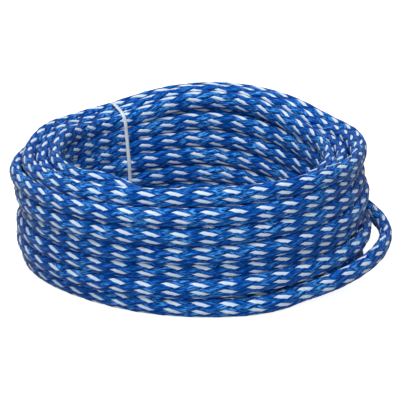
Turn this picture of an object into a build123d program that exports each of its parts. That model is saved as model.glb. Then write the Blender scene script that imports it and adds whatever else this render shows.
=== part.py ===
"""Hollow braid tow rope, wound into a round coil and held by one cable tie.

Millimetres, +Z up. The origin is the centre of the base of the whole object's box, on the surface
that the coil lies on. +Y points to the back, where the rope's outer end lies.
"""
from build123d import *
import math
import os

# ---------------------------------------------------------------- driving dimensions
ROPE_D = 11.0                # outer diameter of the rope, as a round tube
SPLICE_W = 20.0              # width of a splice where its two legs part

COIL_OUTER_R = 120.0         # outermost face of the wound coil
COIL_WALL = 32.0             # radial thickness of the wound coil
COIL_HEIGHT = 87.0
COIL_ROWS = 7                # turns on top of each other
COIL_COLUMNS = 3             # turns side by side across the wall
TURN_RELIEF = 2.0            # depth of the valley between two neighbouring turns

COIL_X = -8.0                # axis of the coil in the part's frame
COIL_Y = -23.2

TIE_AZIMUTH = 120.5          # where the tie crosses the wall, from +X about the coil's axis
STRAP_W = 2.5
STRAP_T = 1.1
STRAP_SINK = 0.6             # how far the strap's inner face is pulled into the soft rope
STRAP_CORNER_R = 9.0         # centreline radius where the strap rounds the wall's corners
STRAP_BEND_R = 1.2           # centreline radius where the strap turns into the head
STRAP_TAIL = 9.0             # strap left standing out of the head
STRAP_TOOTH_PITCH = 1.0
STRAP_TOOTH_W = 0.6          # width of the valley between two teeth of the strap
STRAP_TOOTH_DEPTH = 0.3

HEAD_Z = 48.0                # height of the slot's middle above the surface
HEAD_W = 5.0
HEAD_H = 6.4
HEAD_DEPTH = 5.4
HEAD_EDGE_R = 0.5

PAWL_L = 2.4                 # from the hinge to the tip
PAWL_T = 0.8
PAWL_W = 2.1
PAWL_TOOTH_H = 0.2
PAWL_TOOTH_W = 0.36
PAWL_TEETH = 2
PAWL_HINGE_OFFSET = 2.25     # from the strap's run on the wall, outward to the hinge
PAWL_SWING = 12.0            # degrees that the pawl springs away from the strap

# ---------------------------------------------------------------- named clearances
STRAP_GAP = 0.15             # strap to rope, and strap to the slot in the head
HEAD_GAP = 0.2               # head to rope
PAWL_GAP = 0.1               # pawl to head and to strap
FLOOR_GAP = 0.1              # strap above the surface, under the coil
RUN_SHARE = 0.45             # share of the shorter run that an arc of the rope's route may take
LEG_START = 6.0              # how far inside the splice the two legs of an eye begin

# ---------------------------------------------------------------- sizes that follow
ROPE_R = ROPE_D / 2
COIL_INNER_R = COIL_OUTER_R - COIL_WALL
COIL_ORIGIN = Vector(COIL_X, COIL_Y, 0)

STRAP_OUTER_R = COIL_OUTER_R - STRAP_SINK + STRAP_T / 2
STRAP_INNER_R = COIL_INNER_R + STRAP_SINK - STRAP_T / 2
STRAP_TOP_Z = COIL_HEIGHT - STRAP_SINK + STRAP_T / 2
STRAP_BASE_Z = FLOOR_GAP + STRAP_T / 2

HEAD_INNER_R = STRAP_OUTER_R - STRAP_T / 2
HEAD_BASE_Z = HEAD_Z - HEAD_H / 2
PAWL_R = STRAP_OUTER_R + PAWL_HINGE_OFFSET
PAWL_TOP_Z = HEAD_Z - STRAP_T / 2 - PAWL_GAP
PAWL_Z = PAWL_TOP_Z - PAWL_T / 2

# The rope's route where it isn't coiled: points in the coil's own frame, from the coil's axis.
# The first turn, come loose round the right-hand side; it closes on the coil again behind.
LOOSE_TURN = [
    (67.0, -97.0, 9.0),
    (90.5, -82.5, 11.5),
    (108.5, -65.5, 14.5),
    (122.0, -45.0, 17.0),
    (130.0, -20.4, 18.5),
    (131.0, 5.1, 20.0),
    (123.5, 29.0, 22.0),
    (112.0, 50.0, 24.0),
    (95.5, 67.0, 26.0),
]
# The outer end, from the wall at the back left to its splice behind the coil.
BOAT_LEAD = [
    (-104.5, 47.0, ROPE_R),
    (-97.5, 71.0, ROPE_R),
    (-83.5, 93.5, ROPE_R),
    (-63.5, 112.5, ROPE_R),
    (-39.5, 126.0, ROPE_R),
]
BOAT_SPLICE_END = (10.5, 139.0, ROPE_R)
BOAT_EYE_END = (110.0, 137.0, ROPE_R)
# The inner end, from the top of the inner wall at the front down to its splice inside the coil.
RIDER_LEAD = [
    (-54.5, -69.7, 79.0),
    (-28.6, -78.5, 71.0),
    (-2.9, -82.0, 57.0),
    (21.2, -79.2, 41.0),
    (42.7, -68.3, 25.0),
    (58.1, -50.5, 12.0),
    (66.3, -28.1, ROPE_R),
    (65.8, -4.6, ROPE_R),
    (57.4, 17.5, ROPE_R),
]
RIDER_SPLICE_END = (27.0, 40.0, ROPE_R)
RIDER_EYE_END = (-71.5, 22.6, ROPE_R)
# One leg of an eye, from the start of the legs: along the eye, then out from its centreline.
EYE_LEG = [
    (0.0, 1.6),
    (24.0, 12.5),
    (54.0, 21.5),
    (88.9, 24.0),
    (103.0, 9.9),
]


# ---------------------------------------------------------------- rope
def arc_radii(points):
    """The largest tangent arc at each inner point that its two runs have room for."""
    radii = []
    for before, here, after in zip(points, points[1:], points[2:]):
        run_in = Vector(*here) - Vector(*before)
        run_out = Vector(*after) - Vector(*here)
        half_turn = math.radians(run_in.get_angle(run_out)) / 2
        radii.append(RUN_SHARE * min(run_in.length, run_out.length) / math.tan(half_turn))
    return radii


def rope_tube(name, points):
    """A round tube of rope along straight runs joined by tangent arcs."""
    placed = [Vector(*point) + COIL_ORIGIN for point in points]
    radii = arc_radii(points)
    path = FilletPolyline(*placed, radius=radii)
    section = Plane(origin=path @ 0, z_dir=path % 0) * Circle(ROPE_R)
    tube = sweep(section, path=path)
    expected = math.pi * ROPE_R**2 * path.length
    print(f"{name}: length {path.length:.1f}, radii {[round(r, 1) for r in radii]}, "
          f"volume {tube.volume:.0f} of {expected:.0f}")
    return tube


def outside_coil(rope):
    """The stretch of a rope that lies clear of the coil's outer wall, cut off where it meets it."""
    return rope - Pos(COIL_X, COIL_Y, COIL_HEIGHT / 2) * Cylinder(COIL_OUTER_R, 2 * COIL_HEIGHT)


def inside_coil(rope):
    """The stretch of a rope that lies clear of the coil's inner wall, cut off where it meets it."""
    return rope & Pos(COIL_X, COIL_Y, COIL_HEIGHT / 2) * Cylinder(COIL_INNER_R, 2 * COIL_HEIGHT)


def coil_section():
    """Half section of the coil: turns that bulge on both walls and on top, flat where they rest."""
    inner = COIL_INNER_R + TURN_RELIEF
    outer = COIL_OUTER_R - TURN_RELIEF
    top = COIL_HEIGHT - TURN_RELIEF
    row = top / COIL_ROWS
    column = (outer - inner) / COIL_COLUMNS
    edges = [Line((inner, 0), (outer, 0))]
    for i in range(COIL_ROWS):
        low = row * i
        edges.append(ThreePointArc((outer, low), (COIL_OUTER_R, low + row / 2), (outer, low + row)))
    for i in range(COIL_COLUMNS):
        start = outer - column * i
        crown = (start - column / 2, COIL_HEIGHT)
        edges.append(ThreePointArc((start, top), crown, (start - column, top)))
    for i in range(COIL_ROWS):
        high = top - row * i
        edges.append(ThreePointArc((inner, high), (COIL_INNER_R, high - row / 2), (inner, high - row)))
    return make_face(edges)


def tie_plane():
    """The plane through the coil's axis that the strap lies in: X outward, Y up."""
    angle = math.radians(TIE_AZIMUTH)
    outward = Vector(math.cos(angle), math.sin(angle), 0)
    return Plane(origin=COIL_ORIGIN, x_dir=outward, z_dir=outward.cross(Vector(0, 0, 1)))


def slab(r_low, r_high, z_low, z_high, width):
    """A block across the tie's plane, between two radii and two heights."""
    middle = Pos((r_low + r_high) / 2, (z_low + z_high) / 2, 0)
    return tie_plane() * middle * Box(r_high - r_low, z_high - z_low, width)


def strap_seat():
    """What the strap presses out of the soft rope: everything outside the strap's inner face."""
    low_r = STRAP_INNER_R + STRAP_T / 2 + STRAP_GAP
    high_r = STRAP_OUTER_R - STRAP_T / 2 - STRAP_GAP
    low_z = STRAP_BASE_Z + STRAP_T / 2 + STRAP_GAP
    high_z = STRAP_TOP_Z - STRAP_T / 2 - STRAP_GAP
    corner = STRAP_CORNER_R - STRAP_T / 2 - STRAP_GAP
    kept = Pos((low_r + high_r) / 2, (low_z + high_z) / 2) * RectangleRounded(
        high_r - low_r, high_z - low_z, corner)
    reach = Pos((low_r + high_r) / 2, COIL_HEIGHT / 2) * Rectangle(2 * COIL_WALL, 2 * COIL_HEIGHT)
    ring = tie_plane() * (reach - kept)
    return extrude(ring, amount=STRAP_W / 2 + STRAP_GAP, both=True)


def rope_coil():
    """The wound coil as one closed ring, pressed in where the tie is pulled tight."""
    profile = Plane.XZ * coil_section()
    ring = Pos(COIL_X, COIL_Y, 0) * revolve(profile, axis=Axis.Z)
    head_seat = slab(
        HEAD_INNER_R - HEAD_GAP, COIL_OUTER_R + HEAD_DEPTH,
        HEAD_BASE_Z - HEAD_GAP, HEAD_BASE_Z + HEAD_H + HEAD_GAP, HEAD_W + 2 * HEAD_GAP)
    return ring - strap_seat() - head_seat


def eye_frame(splice_end, eye_end):
    """The level plane of an eye: X from its splice to its far end, origin at the splice."""
    start = Vector(*splice_end) + COIL_ORIGIN
    along = Vector(*eye_end) - Vector(*splice_end)
    return Plane(origin=start, x_dir=along, z_dir=(0, 0, 1))


def splice(name, lead, splice_end, eye_end):
    """Where the tail is buried in the hollow braid: it widens from one rope to two legs."""
    start = Vector(*lead[-1]) + COIL_ORIGIN
    end = Vector(*splice_end) + COIL_ORIGIN
    eye_along = eye_frame(splice_end, eye_end).x_dir
    lead_along = (Vector(*lead[-1]) - Vector(*lead[-2])).normalized()
    narrow = Plane(origin=start, x_dir=Vector(0, 0, 1).cross(lead_along), z_dir=lead_along) * Circle(ROPE_R)
    wide = Plane(origin=end, x_dir=Vector(0, 0, 1).cross(eye_along), z_dir=eye_along) * Ellipse(
        SPLICE_W / 2, ROPE_R)
    body = loft([narrow, wide])
    print(f"{name}: length {(end - start).length:.1f}, volume {body.volume:.0f}")
    return body


def eye(name, splice_end, eye_end):
    """A spliced eye: two legs that part at the splice and join round the far end."""
    leg = [(u - LEG_START, v, 0) for u, v in EYE_LEG]
    other_leg = [(u, -v, 0) for u, v, _ in reversed(leg)]
    radii = arc_radii(leg + other_leg)[:len(leg) - 1]
    far_end = (leg[-1][0], 0, 0)
    path = FilletPolyline(*leg, far_end, radius=radii)
    section = Plane(origin=path @ 0, z_dir=path % 0) * Circle(ROPE_R)
    half = sweep(section, path=path)
    print(f"{name}: leg {path.length:.1f}, radii {[round(r, 1) for r in radii]}, volume {half.volume:.0f}")
    in_splice = Pos(-SPLICE_W, 0, 0) * Box(2 * SPLICE_W, 2 * SPLICE_W, 2 * ROPE_D)
    loop = half + mirror(half, about=Plane.XZ) - in_splice
    return eye_frame(splice_end, eye_end) * loop


# ---------------------------------------------------------------- cable tie
def strap_path():
    """Centreline of the strap: down from the head, round the wall, and out through the head."""
    wall = STRAP_OUTER_R
    tail_end = HEAD_INNER_R + HEAD_DEPTH + STRAP_TAIL
    points = [
        (wall, HEAD_BASE_Z),
        (wall, STRAP_BASE_Z),
        (STRAP_INNER_R, STRAP_BASE_Z),
        (STRAP_INNER_R, STRAP_TOP_Z),
        (wall, STRAP_TOP_Z),
        (wall, HEAD_Z),
        (tail_end, HEAD_Z),
    ]
    return FilletPolyline(*points, radius=[STRAP_CORNER_R] * 4 + [STRAP_BEND_R])


def band(growth):
    """The strap's own shape, or with growth the room that it needs, flat in the tie's plane."""
    path = strap_path()
    section = Plane(origin=path @ 0, z_dir=path % 0) * Rectangle(STRAP_T + 2 * growth, STRAP_W + 2 * growth)
    return tie_plane() * sweep(section, path=path)


def tie_strap():
    """The strap, with teeth on the face that the pawl grips."""
    strap = band(0)
    first = STRAP_OUTER_R + STRAP_BEND_R + STRAP_TOOTH_PITCH / 2
    last = HEAD_INNER_R + HEAD_DEPTH + STRAP_TAIL - STRAP_TOOTH_PITCH
    face = HEAD_Z - STRAP_T / 2
    for i in range(int((last - first) / STRAP_TOOTH_PITCH) + 1):
        middle = PAWL_R + STRAP_TOOTH_PITCH * (i - 0.5)
        if middle < last:
            strap -= slab(middle - STRAP_TOOTH_W / 2, middle + STRAP_TOOTH_W / 2,
                          face - STRAP_TOOTH_DEPTH, face + STRAP_TOOTH_DEPTH, STRAP_W)
    return strap


def tie_head():
    """The head: a block with the strap's slot and a chamber for the pawl, open at its outer face."""
    outer = HEAD_INNER_R + HEAD_DEPTH
    block = slab(HEAD_INNER_R, outer, HEAD_BASE_Z, HEAD_BASE_Z + HEAD_H, HEAD_W)
    block = fillet(block.edges().group_by(tie_plane_distance)[-1], HEAD_EDGE_R)
    swing = PAWL_L * math.sin(math.radians(PAWL_SWING))
    floor = PAWL_TOP_Z - PAWL_T - swing - 2 * PAWL_GAP
    chamber = slab(PAWL_R, outer + 1, floor, HEAD_Z, PAWL_W + 4 * PAWL_GAP)
    knuckle = tie_plane() * Pos(PAWL_R, PAWL_Z, 0) * Cylinder(
        PAWL_T / 2 + PAWL_GAP, PAWL_W + 4 * PAWL_GAP)
    return block - band(STRAP_GAP) - chamber - knuckle


def tie_plane_distance(edge):
    """How far an edge's middle lies from the coil's axis, along the tie's plane."""
    middle = edge.center() - COIL_ORIGIN
    return round(middle.dot(tie_plane().x_dir), 3)


def tie_pawl():
    """The sprung pawl: a tongue with a round knuckle and teeth that fit the strap's."""
    tongue = slab(PAWL_R, PAWL_R + PAWL_L, PAWL_TOP_Z - PAWL_T, PAWL_TOP_Z, PAWL_W)
    knuckle = tie_plane() * Pos(PAWL_R, PAWL_Z, 0) * Cylinder(PAWL_T / 2, PAWL_W)
    pawl = tongue + knuckle
    for i in range(PAWL_TEETH):
        middle = PAWL_R + STRAP_TOOTH_PITCH * (i + 0.5)
        pawl += slab(middle - PAWL_TOOTH_W / 2, middle + PAWL_TOOTH_W / 2,
                     PAWL_TOP_Z - PAWL_TOOTH_H, PAWL_TOP_Z + PAWL_TOOTH_H, PAWL_W)
    return pawl


# ---------------------------------------------------------------- the parts
def build():
    """Every node of the object, by name."""
    return {
        "rope_coil": rope_coil(),
        "rope_loose_turn": outside_coil(rope_tube("rope_loose_turn", LOOSE_TURN)),
        "boat_end_lead": outside_coil(rope_tube("boat_end_lead", BOAT_LEAD)),
        "boat_end_splice": splice("boat_end_splice", BOAT_LEAD, BOAT_SPLICE_END, BOAT_EYE_END),
        "boat_end_eye": eye("boat_end_eye", BOAT_SPLICE_END, BOAT_EYE_END),
        "rider_end_lead": inside_coil(rope_tube("rider_end_lead", RIDER_LEAD)),
        "rider_end_splice": splice("rider_end_splice", RIDER_LEAD, RIDER_SPLICE_END, RIDER_EYE_END),
        "rider_end_eye": eye("rider_end_eye", RIDER_SPLICE_END, RIDER_EYE_END),
        "tie_strap": tie_strap(),
        "tie_head": tie_head(),
        "tie_pawl": tie_pawl(),
    }


os.makedirs("parts", exist_ok=True)
for node, shape in build().items():
    export_step(shape, f"parts/{node}.step")
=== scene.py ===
"""A wound coil of hollow braid tow rope, with a spliced eye at each end, held by a slim cable tie.

The rope is one centreline: a NURBS spline that runs from the eye at the boat's end, round the coil, to the
eye at the rider's end. A dark core, a sheet of painted shade inside the hollow braid, and eighteen yarns
follow it, each yarn a mesh of its own. Lengths are in metres.
"""
import logging
import math
from dataclasses import dataclass
from enum import Enum

import bpy
import numpy as np
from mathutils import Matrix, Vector


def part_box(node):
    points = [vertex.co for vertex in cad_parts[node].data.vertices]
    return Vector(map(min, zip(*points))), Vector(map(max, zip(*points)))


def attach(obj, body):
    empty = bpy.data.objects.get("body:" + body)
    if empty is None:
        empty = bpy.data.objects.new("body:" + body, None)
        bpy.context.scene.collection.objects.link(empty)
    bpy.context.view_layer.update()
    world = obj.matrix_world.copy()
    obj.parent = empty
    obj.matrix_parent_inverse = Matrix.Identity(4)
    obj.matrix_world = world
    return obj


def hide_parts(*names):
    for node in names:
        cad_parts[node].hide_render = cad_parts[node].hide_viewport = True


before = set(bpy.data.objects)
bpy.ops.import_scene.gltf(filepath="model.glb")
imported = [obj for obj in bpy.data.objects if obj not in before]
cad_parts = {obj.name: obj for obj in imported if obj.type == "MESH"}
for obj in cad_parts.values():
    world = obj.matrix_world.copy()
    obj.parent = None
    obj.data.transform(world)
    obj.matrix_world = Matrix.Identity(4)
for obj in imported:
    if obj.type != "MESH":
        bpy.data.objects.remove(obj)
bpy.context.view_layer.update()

log = logging.getLogger("tow_rope")

Colour = tuple[float, float, float]
Point = tuple[float, float, float]

MM = 0.001
ROPE_R = 5.5 * MM

# The rope's route where it isn't coiled, from the coil's axis.
LOOSE_TURN = [
    (0.0670, -0.0970, 0.0090),
    (0.0905, -0.0825, 0.0115),
    (0.1085, -0.0655, 0.0145),
    (0.1220, -0.0450, 0.0170),
    (0.1300, -0.0204, 0.0185),
    (0.1310, 0.0051, 0.0200),
    (0.1235, 0.0290, 0.0220),
    (0.1120, 0.0500, 0.0240),
    (0.0955, 0.0670, 0.0260),
]
BOAT_LEAD = [
    (-0.1045, 0.0470, ROPE_R),
    (-0.0975, 0.0710, ROPE_R),
    (-0.0835, 0.0935, ROPE_R),
    (-0.0635, 0.1125, ROPE_R),
    (-0.0395, 0.1260, ROPE_R),
]
BOAT_SPLICE_END = (0.0105, 0.1390, ROPE_R)
BOAT_EYE_END = (0.1100, 0.1370, ROPE_R)
RIDER_LEAD = [
    (-0.0545, -0.0697, 0.0770),
    (-0.0286, -0.0785, 0.0665),
    (-0.0029, -0.0820, 0.0570),
    (0.0212, -0.0792, 0.0410),
    (0.0427, -0.0683, 0.0250),
    (0.0581, -0.0505, 0.0120),
    (0.0663, -0.0281, ROPE_R),
    (0.0658, -0.0046, ROPE_R),
    (0.0574, 0.0175, ROPE_R),
]
RIDER_SPLICE_END = (0.0270, 0.0400, ROPE_R)
RIDER_EYE_END = (-0.0715, 0.0226, ROPE_R)
EYE_LEG = [
    (-0.0060, 0.0016),
    (0.0180, 0.0125),
    (0.0480, 0.0215),
    (0.0829, 0.0240),
    (0.0970, 0.0099),
]


class Hand(Enum):
    """Which way a carrier winds round the rope; the value is the sign of its turn along the rope."""

    RIGHT = -1
    LEFT = 1


class Tone(Enum):
    """The two yarn colours; the value is the material slot."""

    BLUE = "rope_blue"
    WHITE = "rope_white"


# ---------------------------------------------------------------- shader groups
class ShaderTree:
    """A tree of shader nodes while it is being built."""

    def __init__(self, tree: bpy.types.NodeTree) -> None:
        """Takes the tree that the nodes go in."""
        self.tree = tree

    def node(self, kind: str, **settings: object) -> bpy.types.Node:
        """Adds a node.

        Args:
            kind: The node's Blender type.
            **settings: Attributes set on the node.

        Returns:
            The new node.
        """
        made = self.tree.nodes.new(kind)
        for name, value in settings.items():
            setattr(made, name, value)
        return made

    def link(self, source: bpy.types.NodeSocket, target: bpy.types.NodeSocket) -> None:
        """Joins an output socket to an input socket."""
        self.tree.links.new(source, target)

    def maths(self, operation: str, first: object, second: object = 0.0) -> bpy.types.NodeSocket:
        """Adds a Math node.

        Args:
            operation: The Math node's operation.
            first: A socket or a number.
            second: A socket or a number.

        Returns:
            The node's result.
        """
        made = self.node("ShaderNodeMath", operation=operation)
        for socket, value in zip(made.inputs, (first, second)):
            if isinstance(value, bpy.types.NodeSocket):
                self.link(value, socket)
            else:
                socket.default_value = value
        return made.outputs[0]


class ShaderGroup(ShaderTree):
    """A node group with named inputs and outputs, used by several finishes."""

    def __init__(self, name: str) -> None:
        """Starts an empty group.

        Args:
            name: The group's name.
        """
        super().__init__(bpy.data.node_groups.new(name, "ShaderNodeTree"))
        self.start = self.tree.nodes.new("NodeGroupInput")
        self.end = self.tree.nodes.new("NodeGroupOutput")

    def socket(self, name: str, kind: str, value: object = None, output: bool = False) -> None:
        """Adds a named socket.

        Args:
            name: The socket's name.
            kind: Float, Color or Vector.
            value: The value that the socket has when nothing is linked to it.
            output: True for an output.
        """
        made = self.tree.interface.new_socket(
            name, in_out="OUTPUT" if output else "INPUT", socket_type=f"NodeSocket{kind}")
        if value is not None:
            made.default_value = value

    def noise(self, place: bpy.types.NodeSocket, detail: float) -> bpy.types.NodeSocket:
        """Adds a noise texture of scale 1.

        Args:
            place: Where it is read.
            detail: Its octaves.

        Returns:
            Its value, from 0 to 1.
        """
        made = self.node("ShaderNodeTexNoise")
        made.inputs["Scale"].default_value = 1.0
        made.inputs["Detail"].default_value = detail
        self.link(place, made.inputs["Vector"])
        return made.outputs["Fac"]

    def spread(self, value: bpy.types.NodeSocket, low: float, high: float) -> bpy.types.NodeSocket:
        """Stretches a value so that low becomes 0 and high becomes 1, with soft ends.

        Args:
            value: The socket to stretch.
            low: The value that becomes 0.
            high: The value that becomes 1.

        Returns:
            The stretched value.
        """
        made = self.node("ShaderNodeMapRange", interpolation_type="SMOOTHSTEP")
        self.link(value, made.inputs["Value"])
        made.inputs["From Min"].default_value = low
        made.inputs["From Max"].default_value = high
        return made.outputs["Result"]


def fibre_group() -> bpy.types.NodeTree:
    """Fine filaments that run along a yarn, a mask of painted shade at its edges, where it turns under, and
    a mask of painted glints.

    Returns:
        The group: takes the yarn's Map (along and across it), gives Filaments, the masks of painted edge
            shade and of painted glints, and Normal.
    """
    group = ShaderGroup("Fibre Streaks")
    group.socket("Map", "Vector")
    group.socket("Twist", "Float", 0.12)
    group.socket("Relief", "Float", 0.4)
    group.socket("Filaments", "Float", output=True)
    group.socket("Edge Shade", "Float", output=True)
    group.socket("Painted Glints", "Float", output=True)
    group.socket("Normal", "Vector", output=True)
    parts = group.node("ShaderNodeSeparateXYZ")
    group.link(group.start.outputs["Map"], parts.inputs[0])
    along, across = parts.outputs["X"], parts.outputs["Y"]
    skewed = group.maths("ADD", across, group.maths("MULTIPLY", along, group.start.outputs["Twist"]))
    values = []
    # The third noise, glint, lays out the short streaks of painted glint.
    fine, broad, glint = (10 * MM, 0.34 * MM, 0.0), (28 * MM, 1.1 * MM, 7.3), (4.5 * MM, 0.8 * MM, 3.1)
    for reach, width, seed in (fine, broad, glint):
        spot = group.node("ShaderNodeCombineXYZ")
        group.link(group.maths("DIVIDE", along, reach), spot.inputs["X"])
        group.link(group.maths("DIVIDE", skewed, width), spot.inputs["Y"])
        spot.inputs["Z"].default_value = seed
        values.append(group.spread(group.noise(spot.outputs[0], 2.0), 0.32, 0.68))
    fine_part, broad_part = group.maths("MULTIPLY", values[0], 0.6), group.maths("MULTIPLY", values[1], 0.4)
    mixed = group.maths("ADD", fine_part, broad_part)
    group.link(mixed, group.end.inputs["Filaments"])
    # Painted highlight: the glint streaks, stretched into a mask.
    group.link(group.spread(values[2], 0.35, 0.9), group.end.inputs["Painted Glints"])
    # Painted shade: the mask grows towards the yarn's edges, where it turns under its neighbours.
    folded = group.maths("ABSOLUTE", group.maths("DIVIDE", across, 1.4 * MM))
    group.link(group.spread(folded, 0.5, 1.05), group.end.inputs["Edge Shade"])
    bump = group.node("ShaderNodeBump")
    bump.inputs["Distance"].default_value = 0.3 * MM
    group.link(group.start.outputs["Relief"], bump.inputs["Strength"])
    group.link(mixed, bump.inputs["Height"])
    group.link(bump.outputs["Normal"], group.end.inputs["Normal"])
    return group.tree


def patch_group() -> bpy.types.NodeTree:
    """Slow, uneven patches over a piece: uneven tone, such as dye that took unevenly or dust that settled,
    and on the yarns the stretches where painted glints show.

    Returns:
        The group: takes a Size in metres, gives a Patch mask.
    """
    group = ShaderGroup("Uneven Patches")
    group.socket("Size", "Float", 0.02)
    group.socket("Patch", "Float", output=True)
    place = group.node("ShaderNodeTexCoord")
    scaled = group.node("ShaderNodeVectorMath", operation="SCALE")
    group.link(place.outputs["Object"], scaled.inputs[0])
    group.link(group.maths("DIVIDE", 1.0, group.start.outputs["Size"]), scaled.inputs["Scale"])
    noise = group.noise(scaled.outputs[0], 3.0)
    group.link(group.spread(noise, 0.42, 0.66), group.end.inputs["Patch"])
    return group.tree


class Surface(ShaderTree):
    """A material with one Principled shader, and the nodes that feed it."""

    def __init__(self, name: str) -> None:
        """Starts a material.

        Args:
            name: The material's name.
        """
        self.material = bpy.data.materials.new(name)
        self.material.use_nodes = True
        super().__init__(self.material.node_tree)
        self.shader = self.tree.nodes["Principled BSDF"]

    def group(self, tree: bpy.types.NodeTree) -> bpy.types.Node:
        """Places a shared group and returns its node."""
        return self.node("ShaderNodeGroup", node_tree=tree)

    def feed(self, source: bpy.types.NodeSocket, name: str) -> None:
        """Links a value to one of the shader's inputs, by the input's name."""
        self.link(source, self.shader.inputs[name])

    def mix(self, mask: bpy.types.NodeSocket, first: object, second: object) -> bpy.types.NodeSocket:
        """Mixes two colours by a mask.

        Args:
            mask: 0 gives the first colour and 1 the second.
            first: A socket or a colour.
            second: A socket or a colour.

        Returns:
            The mixed colour.
        """
        made = self.node("ShaderNodeMix", data_type="RGBA")
        self.link(mask, made.inputs["Factor"])
        for socket, value in ((made.inputs[6], first), (made.inputs[7], second)):
            if isinstance(value, bpy.types.NodeSocket):
                self.link(value, socket)
            else:
                socket.default_value = (*value, 1.0)
        return made.outputs[2]

    def between(self, value: bpy.types.NodeSocket, low: float, high: float) -> bpy.types.NodeSocket:
        """Turns a mask into a value.

        Args:
            value: The mask.
            low: The result where the mask is 0.
            high: The result where the mask is 1.

        Returns:
            The result.
        """
        made = self.node("ShaderNodeMapRange")
        self.link(value, made.inputs["Value"])
        made.inputs["To Min"].default_value = low
        made.inputs["To Max"].default_value = high
        return made.outputs["Result"]


# ---------------------------------------------------------------- finishes
@dataclass(frozen=True)
class YarnFinish:
    """A flat yarn of polypropylene filaments, with painted glints and with painted shade at its edges.

    Attributes:
        name: The material's name.
        painted_glint: Painted highlight: the colour laid on the glint streaks, where flat stretches would
            shine.
        fine: Colour of the raised filaments.
        base: Colour of the yarn's body.
        painted_shade: Painted shade: the colour that the yarn darkens to at its edges, where it turns under
            its neighbours.
        glint: Tint of its highlights.
        painted_glint_share: How fully the glint streaks take the painted highlight colour.
        patch: Size of the stretches where painted glints show.
        edge: How fully the edges take the painted shade.
        gloss: Strength of its highlights.
        rough: Roughness of the filaments.
        relief: How strongly the filaments stand out.
    """

    name: str
    painted_glint: Colour
    fine: Colour
    base: Colour
    painted_shade: Colour
    glint: Colour
    painted_glint_share: float = 1.0
    patch: float = 14 * MM
    edge: float = 0.55
    gloss: float = 0.16
    rough: float = 0.36
    relief: float = 0.45

    def build(self, fibres: bpy.types.NodeTree, patches: bpy.types.NodeTree) -> bpy.types.Material:
        """Makes the material.

        Args:
            fibres: The fibre streak group.
            patches: The uneven patch group.

        Returns:
            The material.
        """
        surface = Surface(self.name)
        place = surface.node("ShaderNodeUVMap", uv_map="FibreMap")
        streak, patch = surface.group(fibres), surface.group(patches)
        streak.inputs["Relief"].default_value = self.relief
        patch.inputs["Size"].default_value = self.patch
        surface.link(place.outputs["UV"], streak.inputs["Map"])
        combed = surface.mix(streak.outputs["Filaments"], self.base, self.fine)
        # Painted highlight: glint streaks, inside the patches, turn the yarn towards the painted highlight
        # colour.
        painted_glint_mask = surface.maths(
            "MULTIPLY", surface.between(patch.outputs["Patch"], 0.25, 1.0), streak.outputs["Painted Glints"])
        with_painted_glint = surface.mix(surface.between(painted_glint_mask, 0.0, self.painted_glint_share), combed, self.painted_glint)
        # Painted shade: the yarn's edges darken towards the painted shade colour.
        with_painted_shade = surface.mix(surface.between(streak.outputs["Edge Shade"], 0.0, self.edge), with_painted_glint, self.painted_shade)
        surface.feed(with_painted_shade, "Base Color")
        rough = surface.between(streak.outputs["Filaments"], self.rough + 0.1, self.rough - 0.06)
        surface.feed(rough, "Roughness")
        surface.feed(streak.outputs["Normal"], "Normal")
        surface.shader.inputs["Specular IOR Level"].default_value = self.gloss
        surface.shader.inputs["Specular Tint"].default_value = (*self.glint, 1.0)
        return surface.material


@dataclass(frozen=True)
class PatchyFinish:
    """A plain finish with patches of another colour and roughness.

    Attributes:
        name: The material's name.
        base: Its colour.
        other: Colour of its patches.
        patch: Size of the patches.
        rough: Roughness outside the patches.
        rougher: Roughness inside the patches.
        relief: How strongly the patches stand out.
        clear: Share of the light that passes.
        ior: Refractive index.
        glow: Brightness that only the camera sees, such as haze over a floor.
    """

    name: str
    base: Colour
    other: Colour
    patch: float
    rough: float
    rougher: float
    relief: float = 0.0
    clear: float = 0.0
    ior: float = 1.5
    glow: float = 0.0

    def build(self, patches: bpy.types.NodeTree) -> bpy.types.Material:
        """Makes the material.

        Args:
            patches: The Uneven Patches group.

        Returns:
            The material.
        """
        surface = Surface(self.name)
        inputs, patch = surface.shader.inputs, surface.group(patches)
        patch.inputs["Size"].default_value = self.patch
        mask = patch.outputs["Patch"]
        surface.feed(surface.mix(mask, self.base, self.other), "Base Color")
        surface.feed(surface.between(mask, self.rough, self.rougher), "Roughness")
        inputs["Transmission Weight"].default_value = self.clear
        inputs["IOR"].default_value = self.ior
        if self.relief:
            bump = surface.node("ShaderNodeBump")
            bump.inputs["Strength"].default_value = self.relief
            bump.inputs["Distance"].default_value = 0.1 * MM
            surface.link(mask, bump.inputs["Height"])
            surface.feed(bump.outputs["Normal"], "Normal")
        if self.glow:
            seen = surface.node("ShaderNodeLightPath")
            strength = surface.between(seen.outputs["Is Camera Ray"], 0.0, self.glow)
            surface.feed(strength, "Emission Strength")
            inputs["Emission Color"].default_value = (1.0, 1.0, 1.0, 1.0)
        return surface.material


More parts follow.
